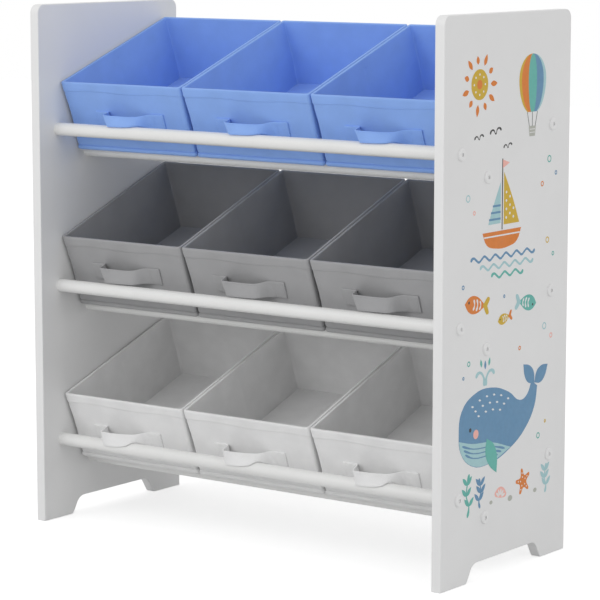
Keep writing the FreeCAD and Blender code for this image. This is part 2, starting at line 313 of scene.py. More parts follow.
SIDES = ("left", "right")
RODS = ("front_rail", "support_rod", "rear_rod")
for finish, names in (
    (board_paint, [f"{side}_side_panel" for side in SIDES]),
    (powder_coat, [f"{kind}_{tier}" for kind in RODS for tier in TIERS]),
    (zinc, [f"{side}_rod_inserts" for side in SIDES]),
    (bolt_paint, [f"{side}_panel_bolts" for side in SIDES]),
    (pressed_board, [f"base_board_{tier}_{column}" for tier in TIERS for column in COLUMNS]),
):
    for name in names:
        slots = NODES[name].data.materials
        slots.clear()
        slots.append(finish)
    print(finish.name, "on", len(names), "CAD nodes")

# %% [markdown]
# ## The fabric
# The bins are spunbonded cloth: plastic fibres pressed together by a hot roller, which leaves a
# grid of tiny dimples. A weave would be wrong here. The dimples are a Voronoi pattern with no
# randomness, and the fibres and the clouds between them are two sizes of noise.

# %% Spunbonded cloth
DIMPLES_PER_METRE = 650
DIMPLE_EDGE = (0.15, 0.4)
FIBRES_PER_METRE = 1600
CLOUDS_PER_METRE = 45
FIBRE_SHADE = (0.97, 1.03)
CLOUD_SHADE = (0.965, 1.03)
CLOTH_RELIEF = 0.06 * MM
CLOTH_COLOURS = {
    "top": (0.255, 0.43, 0.86, 1),
    "middle": (0.36, 0.36, 0.367, 1),
    "bottom": (0.81, 0.81, 0.81, 1),
}
CLOTH_SLOTS = {"top": "blue_fabric", "middle": "grey_fabric", "bottom": "pale_fabric"}


def cloth(name, colour):
    """Dimpled, fibrous cloth, a little cloudy."""
    finish, tree, shader = new_finish(name, 0.85, Sheen_Weight=0.1, Sheen_Roughness=0.5)
    where = add_node(tree, "ShaderNodeUVMap", uv_map="UVMap").outputs["UV"]
    turned = add_node(tree, "ShaderNodeMapping", ("Vector", where))
    turned.inputs["Rotation"].default_value[2] = radians(45)
    dimples = add_node(tree, "ShaderNodeTexVoronoi", ("Vector", turned.outputs["Vector"]),
                       Scale=DIMPLES_PER_METRE, Randomness=0.0)
    pressed = stretch(tree, dimples.outputs["Distance"], *DIMPLE_EDGE, 0, 1)
    fibres = grain(tree, where, FIBRES_PER_METRE, 3.0)
    cloudy = grain(tree, where, CLOUDS_PER_METRE, 3.0)
    shade = combine(tree, "MULTIPLY",
                    spread(tree, cloudy, *CLOUD_SHADE), spread(tree, fibres, *FIBRE_SHADE))
    tree.links.new(tint(tree, colour, shade), shader.inputs["Base Color"])
    raise_bumps(tree, shader, combine(tree, "ADD", pressed, fibres), CLOTH_RELIEF)
    return finish


cloths = {tier: cloth(CLOTH_SLOTS[tier], colour) for tier, colour in CLOTH_COLOURS.items()}
print("made", ", ".join(finish.name for finish in cloths.values()))

# %% [markdown]
# ## Where a bin stands
# Every bin is sewn upright and then laid on its tier's slope, so it is modelled upright too. The
# joint that lifts a bin gives the slope. A CAD bin turned back by it gives the size, and the
# matrix that takes a new bin to its place.

# %% The slope, the size and the places
lift_axis = Vector(frame["joints"][0]["axis"])
SLOPE = atan2(-lift_axis.y, lift_axis.z)
LEAN = Matrix.Rotation(SLOPE, 4, "X")


def corners_of(points):
    """The lowest and the highest corner of the box round some points."""
    along_axes = list(zip(*points))
    return Vector(map(min, along_axes)), Vector(map(max, along_axes))


def level_box(node, place):
    """A tilted node's lowest and highest corners, seen in its bin's own upright frame."""
    back = place.inverted()
    return corners_of(back @ vertex.co for vertex in NODES[node].data.vertices)


def bin_place(tier, column):
    """The matrix from a bin's own frame, at the middle of its front bottom edge, to the rack."""
    low, high = level_box(f"bin_{tier}_{column}", LEAN)
    return LEAN @ Matrix.Translation(((low.x + high.x) / 2, low.y, low.z))


PLACES = {(tier, column): bin_place(tier, column) for tier in TIERS for column in COLUMNS}
FIRST = PLACES["top", "left"]
bin_low, bin_high = level_box("bin_top_left", FIRST)
WIDTH, LENGTH, HEIGHT = bin_high - bin_low
print(f"slope {SLOPE / radians(1):.2f} degrees")
print("bin, mm:", [round(side / MM, 1) for side in (WIDTH, LENGTH, HEIGHT)])

# %% [markdown]
# ## The bin: a folded box
# A bin is two layers of cloth with boards between them. It could be five plates, but then the
# corners would gap. A box whose top is inset and pushed down to the floor has walls of one
# thickness that meet at every corner. The raised field of the floor is the wrapped base board.

# %% Box, walls and floor
WALL = 3 * MM
FLOOR = 6 * MM
FLOOR_MOAT = 1.4 * MM
FLOOR_STEP = 0.7 * MM
FACES_UP = 0.9

deselect()
bpy.ops.mesh.primitive_cube_add(size=1, location=(0, LENGTH / 2, HEIGHT / 2),
                                scale=(WIDTH, LENGTH, HEIGHT))
bpy.ops.object.transform_apply()
bin_piece = bpy.context.object
edit(bin_piece)
pick(bin_piece, "FACE", lambda face: face.normal.z > FACES_UP)
bpy.ops.mesh.inset(thickness=WALL, depth=0)
to_floor = FLOOR - FLOOR_STEP - HEIGHT
bpy.ops.mesh.extrude_region_move(TRANSFORM_OT_translate={"value": (0, 0, to_floor)})
bpy.ops.mesh.inset(thickness=FLOOR_MOAT, depth=0)
bpy.ops.mesh.inset(thickness=FLOOR_STEP, depth=FLOOR_STEP)
print("tray with", faces_of(bin_piece), "faces")

# %% [markdown]
# ## Rounded corners and folded rims
# Cloth over board has no sharp edges. The upright corners are rounded by a few millimetres, the
# rim is a fold about as thick as the wall, and the bottom edge rolls over a seam.

# %% Corners, rim and bottom edge
CORNER_ROUND = 3.2 * MM
INNER_ROUND = 1.4 * MM
RIM_ROUND = 1.2 * MM
BOTTOM_ROUND = 2.4 * MM
SHORTEST_UPRIGHT = 10 * MM
LEAST_ANGLE = radians(30)


def upright(edge, inside):
    """An upright edge of the outer or of the inner corners."""
    a, b = (vertex.co for vertex in edge.verts)
    stands = near(a.x, b.x) and near(a.y, b.y) and abs(a.z - b.z) > SHORTEST_UPRIGHT
    return stands and near(abs(a.x), WIDTH / 2 - inside)


def sharp(edge, height):
    """An edge at one height where two faces meet at an angle."""
    level = all(near(vertex.co.z, height) for vertex in edge.verts)
    return level and edge.calc_face_angle(0) > LEAST_ANGLE


for test, place, size, steps in (
    (upright, 0, CORNER_ROUND, 4),
    (upright, WALL, INNER_ROUND, 2),
    (sharp, HEIGHT, RIM_ROUND, 3),
    (sharp, 0, BOTTOM_ROUND, 3),
):
    pick(bin_piece, "EDGE", lambda edge: test(edge, place))
    bpy.ops.mesh.bevel(offset=size, segments=steps, affect="EDGES")
print("rounded,", faces_of(bin_piece), "faces")

# %% [markdown]
# ## Seam lines in the cloth
# The rim has a hem one finger wide, the walls are sewn to the floor near the bottom edge and to
# each other beside the corners, and each side folds half way along, where its two boards meet.
# Each such line needs its own row of vertices, so the walls are sliced there, and often enough
# between them to bend softly.

# %% Slices
HEM = 10.5 * MM
HEM_STEP = 0.5 * MM
BOTTOM_SEAM = 5.9 * MM
CORNER_SEAM = 6.5 * MM
SEAM_WIDTH = 1.6 * MM
SEAM_STEP = 0.6 * MM
FOLD_WIDTH = 5 * MM
WEAVE_STEP = 9 * MM

hem_line = HEIGHT - HEM
seam_x = WIDTH / 2 - CORNER_SEAM


def both_sides(line, width):
    """The two edges and the middle of a seam."""
    return [line - width / 2, line, line + width / 2]


upper = [hem_line - SEAM_WIDTH, *both_sides(hem_line, 2 * HEM_STEP), hem_line + 3 * HEM_STEP]
lower = both_sides(BOTTOM_SEAM, 2 * SEAM_STEP)
cut_across("z", [*lower, *evenly(lower[-1], upper[0], WEAVE_STEP), *upper])
seams_x = [side * place for side in (-1, 1) for place in both_sides(seam_x, SEAM_WIDTH)]
cut_across("x", [*seams_x, *evenly(-seam_x, seam_x, WEAVE_STEP)])
fold = both_sides(LENGTH / 2, FOLD_WIDTH)
near_end = CORNER_ROUND + WEAVE_STEP / 3
far_end = LENGTH - near_end
cut_across("y", [near_end, far_end, *evenly(near_end, fold[0], WEAVE_STEP), *fold,
                 *evenly(fold[-1], far_end, WEAVE_STEP)])
print("sliced,", faces_of(bin_piece), "faces")

# %% [markdown]
# ## The seams pull and the hem stands proud
# Stitches pull the two layers together, so their row of vertices sinks. A hem is two more layers
# of cloth, so it is thicker. Both could be a bump in the material, but the outline would stay
# straight. Shrink/Fatten moves the picked vertices along their normals.

# %% Seams, hem and fold
SEAM_PULL = 2.2 * MM
CORNER_PULL = 0.35 * MM
FOLD_PULL = 0.6 * MM
FLARE = 0.9 * MM
SKIN = 1.1 * MM
HAIR = 0.1 * MM


def on_outside(point):
    """On the outer layer of a wall, its round corners included."""
    deep_x = WIDTH / 2 - abs(point.x)
    deep_y = min(point.y, LENGTH - point.y)
    return min(deep_x, deep_y) < SKIN or max(deep_x, deep_y) < CORNER_ROUND


def on_end_wall(point):
    """On the outer layer of the front or the rear wall."""
    return min(point.y, LENGTH - point.y) < HAIR


def on_side_wall(point):
    """On either layer of a side wall."""
    return abs(point.x) > WIDTH / 2 - WALL - HAIR


def press(test, depth):
    """Move picked vertices along their normals: out where depth is positive."""
    count = pick(bin_piece, "VERT", lambda vertex: test(vertex.co))
    bpy.ops.transform.shrink_fatten(value=depth)
    return count


hem_count = press(lambda p: on_outside(p) and p.z > hem_line - HAIR, HEM_STEP)
seam_count = press(lambda p: on_outside(p) and near(p.z, BOTTOM_SEAM), -SEAM_PULL)
press(lambda p: on_outside(p) and near(p.z, BOTTOM_ROUND), FLARE)
press(lambda p: on_outside(p) and near(p.z, lower[0]), FLARE / 2)
press(lambda p: on_end_wall(p) and near(abs(p.x), seam_x)
      and lower[-1] < p.z < hem_line - HEM_STEP, -CORNER_PULL)
fold_count = press(lambda p: on_side_wall(p) and near(p.y, LENGTH / 2)
                   and lower[-1] < p.z < hem_line, -FOLD_PULL)
print("hem", hem_count, "seam", seam_count, "fold", fold_count, "vertices moved")
deselect()

# %% [markdown]
# ## A hem that wanders
# Nobody sews a soft edge dead straight. The hem line swings by a millimetre over the front, the
# bottom seam by about a third of that, and both straighten towards the corners. A noise texture
# would do, but one slow wave is what a hand makes. The rows beside a line move with it, less and
# less.

# %% The wave along the seams
SWING = 1.0 * MM
SWING_LENGTH = 110 * MM
SWING_START = 18 * MM
SWING_FADE = 30 * MM
SWING_REACH = 7 * MM
LOW_SWING = 0.3
SWING_HOLD = 1.5


def swing(x):
    """How far a seam on the front or the rear wall wanders up at a place along it."""
    to_corner = share_of(WIDTH / 2 - abs(x), 0, SWING_FADE)
    return -SWING * to_corner * sin(tau * (x + SWING_START) / SWING_LENGTH)


for vertex in bin_piece.data.vertices:
    point = vertex.co
    if on_outside(point) and min(point.y, LENGTH - point.y) < CORNER_ROUND:
        for line, size in ((hem_line, 1), (BOTTOM_SEAM, LOW_SWING)):
            share = 1 - abs(point.z - line) / SWING_REACH
            if share > 0:
                point.z += swing(point.x) * size * min(1, SWING_HOLD * share)
use(bin_piece, "SUBSURF", levels=1, render_levels=1)
print("bin has", faces_of(bin_piece), "faces")

# %% [markdown]
# ## Thread
# A line of stitches holds the hem. A stitch is modelled once, as a grain of six sides, and copied
# along the line: real geometry, but with few faces, because a bin has hundreds. The line is
# joined to the cloth, so that it bends with it later.

# %% Stitches
STITCH_LENGTH = 2.5 * MM
STITCH_PITCH = 3.6 * MM
THREAD = 0.5 * MM
HEM_STITCH_RISE = 2 * MM

deselect()
bpy.ops.mesh.primitive_uv_sphere_add(segments=6, ring_count=4, radius=0.5)
bpy.ops.transform.resize(value=(STITCH_LENGTH, THREAD, THREAD))
bpy.ops.object.transform_apply()
stitch = bpy.context.object


def sewn(name, spots):
    """A line of stitches: each spot is a middle, the way the thread runs and the way out."""
    line = bmesh.new()
    for middle, along, out in spots:
        along, out = along.normalized(), out.normalized()
        turn = Matrix((along, out, along.cross(out))).transposed().to_4x4()
        start = len(line.verts)
        line.from_mesh(stitch.data)
        line.verts.ensure_lookup_table()
        bmesh.ops.transform(line, matrix=Matrix.Translation(middle) @ turn, verts=line.verts[start:])
    mesh = bpy.data.meshes.new(name)
    line.to_mesh(mesh)
    line.free()
    return show(name, mesh)


def stitch_row(start, end, out, shift=lambda point: 0):
    """Spots along a straight line; shift moves each one up by its own amount."""
    run = end - start
    count = round(run.length / STITCH_PITCH)
    middles = [start + run * (index + 0.5) / count for index in range(count)]
    return [(middle + Vector((0, 0, shift(middle))), run, out) for middle in middles]


def joined(base, *others):
    """Join pieces into the first one."""
    choose(base, *others)
    bpy.ops.object.join()
    return base


rise = hem_line + HEM_STITCH_RISE
side, end = WIDTH / 2 - CORNER_ROUND, LENGTH - CORNER_ROUND
hem_spots = []
for y, out_y in ((-HEM_STEP, -1), (LENGTH + HEM_STEP, 1)):
    hem_spots += stitch_row(Vector((-side, y, rise)), Vector((side, y, rise)), Vector((0, out_y, 0)),
                            shift=lambda middle: swing(middle.x))
for out_x in (-1, 1):
    x = out_x * (WIDTH / 2 + HEM_STEP)
    start, stop = Vector((x, CORNER_ROUND, rise)), Vector((x, end, rise))
    hem_spots += stitch_row(start, stop, Vector((out_x, 0, 0)))
joined(bin_piece, sewn("hem_stitches", hem_spots))
print(len(hem_spots), "hem stitches")

# %% [markdown]
# ## Soft walls
# The boards keep a wall flat, but the cloth over them is a little loose. A Displace modifier with
# a clouds texture gives that: it works on a vertex group, so that rims, seams and the floor stay
# true. It could be a bump, but a real bulge also changes the light around it.

# %% Loose cloth
SLACK = 0.7 * MM
SLACK_SIZE = 34 * MM
SLACK_MARGIN = 4 * MM

slack = bin_piece.vertex_groups.new(name="slack")
loose = [vertex.index for vertex in bin_piece.data.vertices
         if lower[-1] + SLACK_MARGIN < vertex.co.z < hem_line - SLACK_MARGIN]
slack.add(loose, 1, "ADD")
clouds = bpy.data.textures.new("slack", "CLOUDS")
clouds.noise_scale = SLACK_SIZE
clouds.noise_depth = 1
use(bin_piece, "DISPLACE", texture=clouds, texture_coords="LOCAL", strength=SLACK, mid_level=0.5,
    vertex_group=slack.name)
print("loosened", len(loose), "vertices")

# %% [markdown]
# ## Drawn in at the waist
# Rim and floor are stiff, and the cloth between them pulls the walls inwards, so the gap between
# two bins is widest half way down. A lattice bends everything in it alike, which is why one is
# used: the cloth, the boards in it and the strap on it can all follow the same bend.

# %% The lattice
WAIST_X = 1.5 * MM
WAIST_Y = 0.9 * MM
LATTICE_POINTS = (5, 5, 7)

deselect()
bpy.ops.object.add(type="LATTICE", location=(0, LENGTH / 2, HEIGHT / 2))
waist = bpy.context.object
waist.scale = (WIDTH, LENGTH, HEIGHT)
waist.data.points_u, waist.data.points_v, waist.data.points_w = LATTICE_POINTS
for axis in "uvw":
    setattr(waist.data, f"interpolation_type_{axis}", "KEY_CARDINAL")
for point in waist.data.points:
    x, y, z = point.co
    draw = 2 * sin(pi * (z + 0.5)) ** 2
    point.co_deform = (x * (1 - draw * WAIST_X / WIDTH), y * (1 - draw * WAIST_Y / LENGTH), z)
bpy.context.view_layer.update()
use(bin_piece, "LATTICE", object=waist)
print("waist of", round(2 * WAIST_X / MM, 1), "mm across")

# %% [markdown]
# ## Flat cloth for a pattern
# The dimples of the cloth need flat coordinates on every wall. Unwrapping along seams is how a
# tailor would do it, but a box needs less: Cube Projection lays each face flat along the axis it
# faces, in metres, before the bin is tilted.

# %% Cloth coordinates


def lay_flat(piece):
    """A UV map in metres, from the way each face looks."""
    if "UVMap" not in piece.data.uv_layers:
        piece.data.uv_layers.new(name="UVMap")
    edit(piece, "FACE", "SELECT")
    bpy.ops.uv.cube_project(cube_size=1.0, correct_aspect=False)
    deselect()


def smooth(piece, angle=50):
    """Smooth shading, but for edges sharper than an angle in degrees."""
    choose(piece)
    bpy.ops.object.shade_smooth_by_angle(angle=radians(angle))


lay_flat(bin_piece)
smooth(bin_piece)
print("uv maps:", [layer.name for layer in bin_piece.data.uv_layers])

# %% [markdown]
# ## The strap
# A strip of the same cloth, folded and sewn flat, is stitched down at both ends and stands off
# between them as a loop for the fingers. It starts as one small face against the wall. Its end
# edge is extruded from corner to corner of the path, and the corners are beveled into bends. The
# left end turns out sharply and the right end comes back in a soft curve, because it is sewn last.

# %% The strap's path
STRAP_THICK = 1.5 * MM
STRAP_WIDTH = 20 * MM
SEWN = -STRAP_THICK / 2
ROOT_LEFT = (-30.5 * MM, SEWN)
BULGE_LEFT = (-29.5 * MM, -10.5 * MM)
BULGE_RIGHT = (18 * MM, -6.5 * MM)
ROOT_RIGHT = (31 * MM, SEWN)
PATCH_START = 12 * MM

strap_low, strap_high = level_box("handle_top_left", FIRST)
strap_top = strap_high.z
strap_bottom = strap_top - STRAP_WIDTH

deselect()
first_middle = (strap_low.x + PATCH_START / 2, SEWN, (strap_top + strap_bottom) / 2)
bpy.ops.mesh.primitive_plane_add(size=1, location=first_middle, rotation=(radians(90), 0, 0))
strip = bpy.context.object
strip.scale = (PATCH_START, STRAP_WIDTH, 1)
bpy.ops.object.transform_apply()
stops = [(strap_low.x + PATCH_START, SEWN), ROOT_LEFT, BULGE_LEFT, BULGE_RIGHT, ROOT_RIGHT,
         (strap_high.x, SEWN)]
edit(strip)
for (x, y), (next_x, next_y) in zip(stops, stops[1:]):
    pick(strip, "VERT", lambda vertex: near(vertex.co.x, x) and near(vertex.co.y, y))
    bpy.ops.mesh.extrude_region_move(TRANSFORM_OT_translate={"value": (next_x - x, next_y - y, 0)})
print("strap of", len(stops), "stops,", round(strap_bottom / MM, 1), "mm up")

# %% Bends and slices
SOFT_BEND = 5 * MM
BENDS = (
    (BULGE_LEFT, 2.5 * MM, 4),
    (BULGE_RIGHT, SOFT_BEND, 5),
    (ROOT_LEFT, 1.4 * MM, 3),
    (ROOT_RIGHT, SOFT_BEND, 4),
)
LOOP_STEP = 3 * MM
PATCH_STEP = 4 * MM
DOWN_STEP = 2 * MM
RETURN_CUTS = (-3.2, -4.1, -5, -5.9, -6.8, -8.5)

for (x, y), size, steps in BENDS:
    pick(strip, "EDGE", lambda edge: all(near(v.co.x, x) and near(v.co.y, y) for v in edge.verts))
    bpy.ops.mesh.bevel(offset=size, segments=steps, affect="EDGES")
cut_across("x", [*evenly(strap_low.x, ROOT_LEFT[0], PATCH_STEP),
                 *evenly(BULGE_LEFT[0] + LOOP_STEP, BULGE_RIGHT[0] - SOFT_BEND, LOOP_STEP),
                 *evenly(ROOT_RIGHT[0] + SOFT_BEND, strap_high.x, PATCH_STEP)])
cut_across("y", [y * MM for y in RETURN_CUTS])
cut_across("z", evenly(strap_bottom, strap_top, DOWN_STEP))
bpy.ops.mesh.select_all(action="SELECT")
bpy.ops.mesh.normals_make_consistent(inside=False)
deselect()
print("strip has", faces_of(strip), "faces")

# %% [markdown]
# ## The strap lies on the rail
# The loop's lower edge rides up on the front rail, slips sideways and folds the loop askew. How
# far it laps over depends on how high the strap was sewn, which differs from tier to tier. A
# cloth simulation would find such a shape, but not the same one twice. Here one rule moves every
# vertex, and then up and out of the rail's circle. The top edge bends in two smooth humps, a
# belly and a sag, each scaled to reach its full depth once.

# %% Hanging the strip
STRAP_LIFT = {"bottom": -7.2 * MM, "middle": 3.0 * MM, "top": -4.5 * MM}
TOP_EDGE_PUSH = {
    "bottom": (11.4, -15.5, 8.5),
    "middle": (5.3, -7.5, 3.9),
    "top": (8.0, -11.5, 6.0),
}
LOW_EDGE_SLIP = {"bottom": 13, "middle": 9, "top": 13}
LAP_ANGLE = {"bottom": 57, "middle": -10, "top": 22}
LAP_END = -25
LOW_EDGE_HOLD = 0.5
STRAP_SAG = 1.6 * MM
STRAP_BELLY = 1.0 * MM
RAIL_GAP = 0.7 * MM

rail_low, rail_high = level_box("front_rail_top", FIRST)
rail_middle = Vector((0, (rail_low.y + rail_high.y) / 2 - WAIST_Y, (rail_low.z + rail_high.z) / 2))
rail_clear = (rail_high.z - rail_low.z) / 2 + STRAP_THICK / 2 + RAIL_GAP


def loop_y(x):
    """Where the straight part of the path lies."""
    share = share_of(x, BULGE_LEFT[0], BULGE_RIGHT[0])
    return BULGE_LEFT[1] + (BULGE_RIGHT[1] - BULGE_LEFT[1]) * share


def edges_at(x, tier):
    """The places of the loop's top edge and of its lower edge, which lies on the rail."""
    share = share_of(x, BULGE_LEFT[0], ROOT_RIGHT[0])
    top_edge = Vector((x, loop_y(x), strap_top + STRAP_LIFT[tier]))
    top_edge += Vector(TOP_EDGE_PUSH[tier]) * MM * (1 - share)
    top_edge.y -= STRAP_BELLY * 4 * share * (1 - share)
    top_edge.z -= STRAP_SAG * 27 / 4 * share ** 2 * (1 - share)
    turn = radians(LAP_ANGLE[tier] + (LAP_END - LAP_ANGLE[tier]) * share ** 4)
    on_rail = Vector((0, -sin(turn), cos(turn))) * rail_clear
    low_edge = rail_middle + on_rail + Vector((x + LOW_EDGE_SLIP[tier] * MM * (1 - share), 0, 0))
    return top_edge, low_edge


def hang(point, tier):
    """The place of a spot of the strip once the strap hangs on a bin of one tier."""
    flat = point + Vector((0, 0, STRAP_LIFT[tier]))
    free = share_of(point.y, SEWN, loop_y(point.x))
    if free == 0:
        return flat
    top_edge, low_edge = edges_at(point.x, tier)
    down = (strap_top - point.z) / STRAP_WIDTH
    hung = top_edge.lerp(low_edge, down)
    weight = free ** (1 - LOW_EDGE_HOLD * down)
    placed = flat + (hung - Vector((point.x, loop_y(point.x), flat.z))) * weight
    off = Vector((0, placed.y - rail_middle.y, placed.z - rail_middle.z))
    inside = rail_clear - off.length
    if inside > 0:
        off.z += inside
        placed = Vector((placed.x, *(rail_middle + off.normalized() * rail_clear).yz))
    return placed


print("loop's lower left corner on the top tier, mm:",
      [round(part / MM, 1) for part in hang(Vector((*BULGE_LEFT, strap_bottom)), "top")])

# %% [markdown]
# ## Thickness and thread
# Solidify gives the strip its thickness and Bevel softens the long edges. Two rows of thread run
# along the loop, placed by the same rule as the cloth, and each sewn end has a box of thread.

# %% Straps
STRAP_EDGE = 0.45 * MM
TOPSTITCH = 2.2 * MM
BOX_INSET = 2.5 * MM
NUDGE = 0.5 * MM

outwards = Vector((0, -1, 0))


def loop_spot(x, z, tier):
    """A stitch on the loop's front face: its middle, the way the thread runs and the way out."""
    places = ((x, z), (x + NUDGE, z), (x, z + NUDGE))
    here, right, above = (hang(Vector((a, loop_y(a), b)), tier) for a, b in places)
    out = (right - here).cross(above - here).normalized()
    return here + out * STRAP_THICK / 2, right - here, out


def make_strap(tier):
    """The strip, hung on a bin of one tier, with its thickness and its thread."""
    piece = show("strap", strip.data.copy())
    for vertex in piece.data.vertices:
        vertex.co = hang(vertex.co, tier)
    use(piece, "SOLIDIFY", thickness=STRAP_THICK, offset=0.0)
    use(piece, "BEVEL", width=STRAP_EDGE, segments=2, limit_method="ANGLE", angle_limit=radians(60))
    rows = (strap_top - TOPSTITCH, strap_bottom + TOPSTITCH)
    along = evenly(BULGE_LEFT[0] + 1 * MM, BULGE_RIGHT[0], STITCH_PITCH)
    spots = [loop_spot(x, z, tier) for z in rows for x in along]
    for near_x, far_x in ((ROOT_LEFT[0] - BOX_INSET, strap_low.x + BOX_INSET),
                          (ROOT_RIGHT[0] + 2 * BOX_INSET, strap_high.x - BOX_INSET)):
        box = [Vector((x, -STRAP_THICK, z + STRAP_LIFT[tier]))
               for x, z in ((near_x, rows[0]), (far_x, rows[0]), (far_x, rows[1]), (near_x, rows[1]))]
        for start, end in zip(box, box[1:] + box[:1]):
            spots += stitch_row(start, end, outwards)
    joined(piece, sewn("strap_stitches", spots))
    use(piece, "LATTICE", object=waist)
    lay_flat(piece)
    smooth(piece)
    return piece


straps = {tier: make_strap(tier) for tier in TIERS}
print("a strap has", faces_of(straps["top"]), "faces")

# %% [markdown]
# ## The boards follow the waist
# The CAD boards are flat plates in the walls. As the walls are drawn in now, the boards have to
# follow, or their corners would poke out of the cloth. A copy of the CAD mesh is merged, sliced
# so that it can bend, and put through the same lattice.

# %% Bent boards
ACROSS_STEP = 12 * MM
UP_STEP = 6 * MM

boards = show("bent_boards", NODES["wall_boards_top_left"].data.copy())
boards.data.transform(FIRST.inverted())
edit(boards, action="SELECT")
bpy.ops.mesh.remove_doubles(threshold=0.01 * MM)
bpy.ops.mesh.tris_convert_to_quads()
board_low, board_high = corners_of(vertex.co for vertex in boards.data.vertices)
for axis, step in (("z", UP_STEP), ("y", ACROSS_STEP), ("x", ACROSS_STEP)):
    cut_across(axis, evenly(getattr(board_low, axis), getattr(board_high, axis), step))
use(boards, "LATTICE", object=waist)
print("boards have", faces_of(boards), "faces")

# %% [markdown]
# ## Nine bins
# The first bin, strap and set of boards are copied to their places, each with a mesh of its own,
# so that each can be moved or recoloured alone. Each copy rides on the CAD body of its bin and
# stands for the plain CAD piece, and bins and straps take their tier's cloth. The grey bins are
# sewn a few millimetres taller, which narrows the gap under the rod above them, the blue ones a
# millimetre lower at the rear, and each strap sits a little further left or right.

# %% Rims and straps at their own places
RIM_LIFT = {"bottom": (0, 0), "middle": (3.3 * MM, 7 * MM), "top": (0, -1.2 * MM)}
STRAP_SHIFT = {
    "bottom": (-3.7, -2.8, -2.8),
    "middle": (-0.7, -1.4, -2.1),
    "top": (4.6, 1.7, -0.7),
}


def lift_rim(mesh, front, rear):
    """Stretch what stands on a bin's floor, so that the rim rises by one amount at each end."""
    for vertex in mesh.vertices:
        point = vertex.co
        at_rim = front + (rear - front) * point.y / LENGTH
        point.z += at_rim * point.z / HEIGHT


def put(model, name, place, finish, slot, body, stands_for, lift=(0, 0)):
    """Copy a model to a place, dress it, and hang it on a body instead of a CAD node."""
    mesh = model.data.copy()
    lift_rim(mesh, *lift)
    mesh.transform(place)
    mesh.materials.clear()
    mesh.materials.append(finish)
    piece = show(name, mesh)
    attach(piece, body)
    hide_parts(stands_for)


for (tier, column), place in PLACES.items():
    body = f"{tier}_{column}_bin"
    here = f"{tier}_{column}"
    cloth_and_slot = (cloths[tier], CLOTH_SLOTS[tier])
    aside = Matrix.Translation((STRAP_SHIFT[tier][COLUMNS.index(column)] * MM, 0, 0))
    put(bin_piece, f"cloth_bin_{here}", place, *cloth_and_slot, body, f"bin_{here}", RIM_LIFT[tier])
    put(straps[tier], f"strap_{here}", place @ aside, *cloth_and_slot, body, f"handle_{here}")
    put(boards, f"bent_boards_{here}", place, pressed_board, "board", body,
        f"wall_boards_{here}", RIM_LIFT[tier])
for model in (bin_piece, strip, *straps.values(), boards, stitch, waist):
    bpy.data.objects.remove(model)
print("placed", len(PLACES), "bins")

# %% [markdown]
# ## Inks
# The outer faces of the panels carry a printed picture. Printing ink on paint is a thin film that
# covers a little unevenly, so each colour is a finish of its own, denser here and thinner there,
# and a little duller than the paint round it. The last one is the paint itself, for white details.

# %% Inks
INK_COLOURS = {
    "mustard": (0.62, 0.41, 0.025),
    "orange": (0.70, 0.20, 0.02),
    "teal": (0.12, 0.45, 0.39),
    "pale_teal": (0.38, 0.60, 0.63),
    "slate": (0.12, 0.27, 0.44),
    "warm_grey": (0.46, 0.47, 0.42),
    "blush": (0.88, 0.46, 0.40),
    "black": (0.02, 0.02, 0.02),
    "bare": PAINT_WHITE,
}
INK_COVER = (180, 3.0, 0.96, 1.03)

inks = {name: hard_finish(f"ink_{name}", colour, 0.5, INK_COVER, gloss_grain=60, skin_grain=1200,
                          depth=0.01 * MM) for name, colour in INK_COLOURS.items()}
print("mixed", len(inks), "inks")

# %% [markdown]
# ## Outlines for a printer
# A print could be an image, or a pattern worked out in a material. Flat curves are better here:
# they stay sharp at any distance and can be edited as drawing. An outline is a list of places in
# millimetres. The line is smooth at each, apart from those marked as corners.

# %% Outlines
CORNER = "corner"
LEAF_SHAPE = ((0.3, 0.9), (0.65, 0.85))


def polar(radius, degrees):
    """A place at a distance and an angle from the middle."""
    turn = radians(degrees)
    return Vector((radius * cos(turn), radius * sin(turn)))


def oval(radius, tall=None, at=(0, 0)):
    """Eight places round a circle, or round an oval with a second radius."""
    tall = tall or radius
    turns = [tau * index / 8 for index in range(8)]
    return [(at[0] + radius * cos(turn), at[1] + tall * sin(turn)) for turn in turns]


def half_across(start, end, width):
    """Half a line's width, square to the line."""
    return (end - start).orthogonal().normalized() * width / 2


def leaf(start, end, width):
    """A long drop with two pointed ends, as wide along it as LEAF_SHAPE says."""
    start, end = Vector(start), Vector(end)
    side = half_across(start, end, width)
    there = [tuple(start.lerp(end, along) + side * share) for along, share in LEAF_SHAPE]
    back = [tuple(start.lerp(end, along) - side * share) for along, share in reversed(LEAF_SHAPE)]
    return [(*start, CORNER), *there, (*end, CORNER), *back]


def stroke(path, width):
    """A brush line along a path, with round ends."""
    path = [Vector(place) for place in path]
    left, right = [], []
    for before, place, after in zip([path[0], *path], path, [*path[1:], path[-1]]):
        out = half_across(before, after, width)
        left.append(tuple(place + out))
        right.append(tuple(place - out))
    return [*left, *reversed(right)]


def bar(start, end, width):
    """A straight line with square ends."""
    start, end = Vector(start), Vector(end)
    side = half_across(start, end, width)
    return [(*spot, CORNER) for spot in (start + side, end + side, end - side, start - side)]


def wave(start, end, height, count):
    """A path that swings up and down between two places."""
    start, end = Vector(start), Vector(end)
    steps = 4 * count
    return [start.lerp(end, index / steps) + Vector((0, height * sin(index * pi / 2)))
            for index in range(steps + 1)]


# %% [markdown]
# ## Ink on the panel
# A curve that is closed, flat and filled makes a sheet, and Extrude gives it the thickness of a
# film. A second outline inside the first one is a hole. Colours that cover each other lie in
# layers, a twentieth of a millimetre apart, so that neither flickers through.

# %% Laying ink
INK_THICK = 0.03 * MM
INK_LAYER = 0.05 * MM
CURVE_STEPS = 4
printed = []


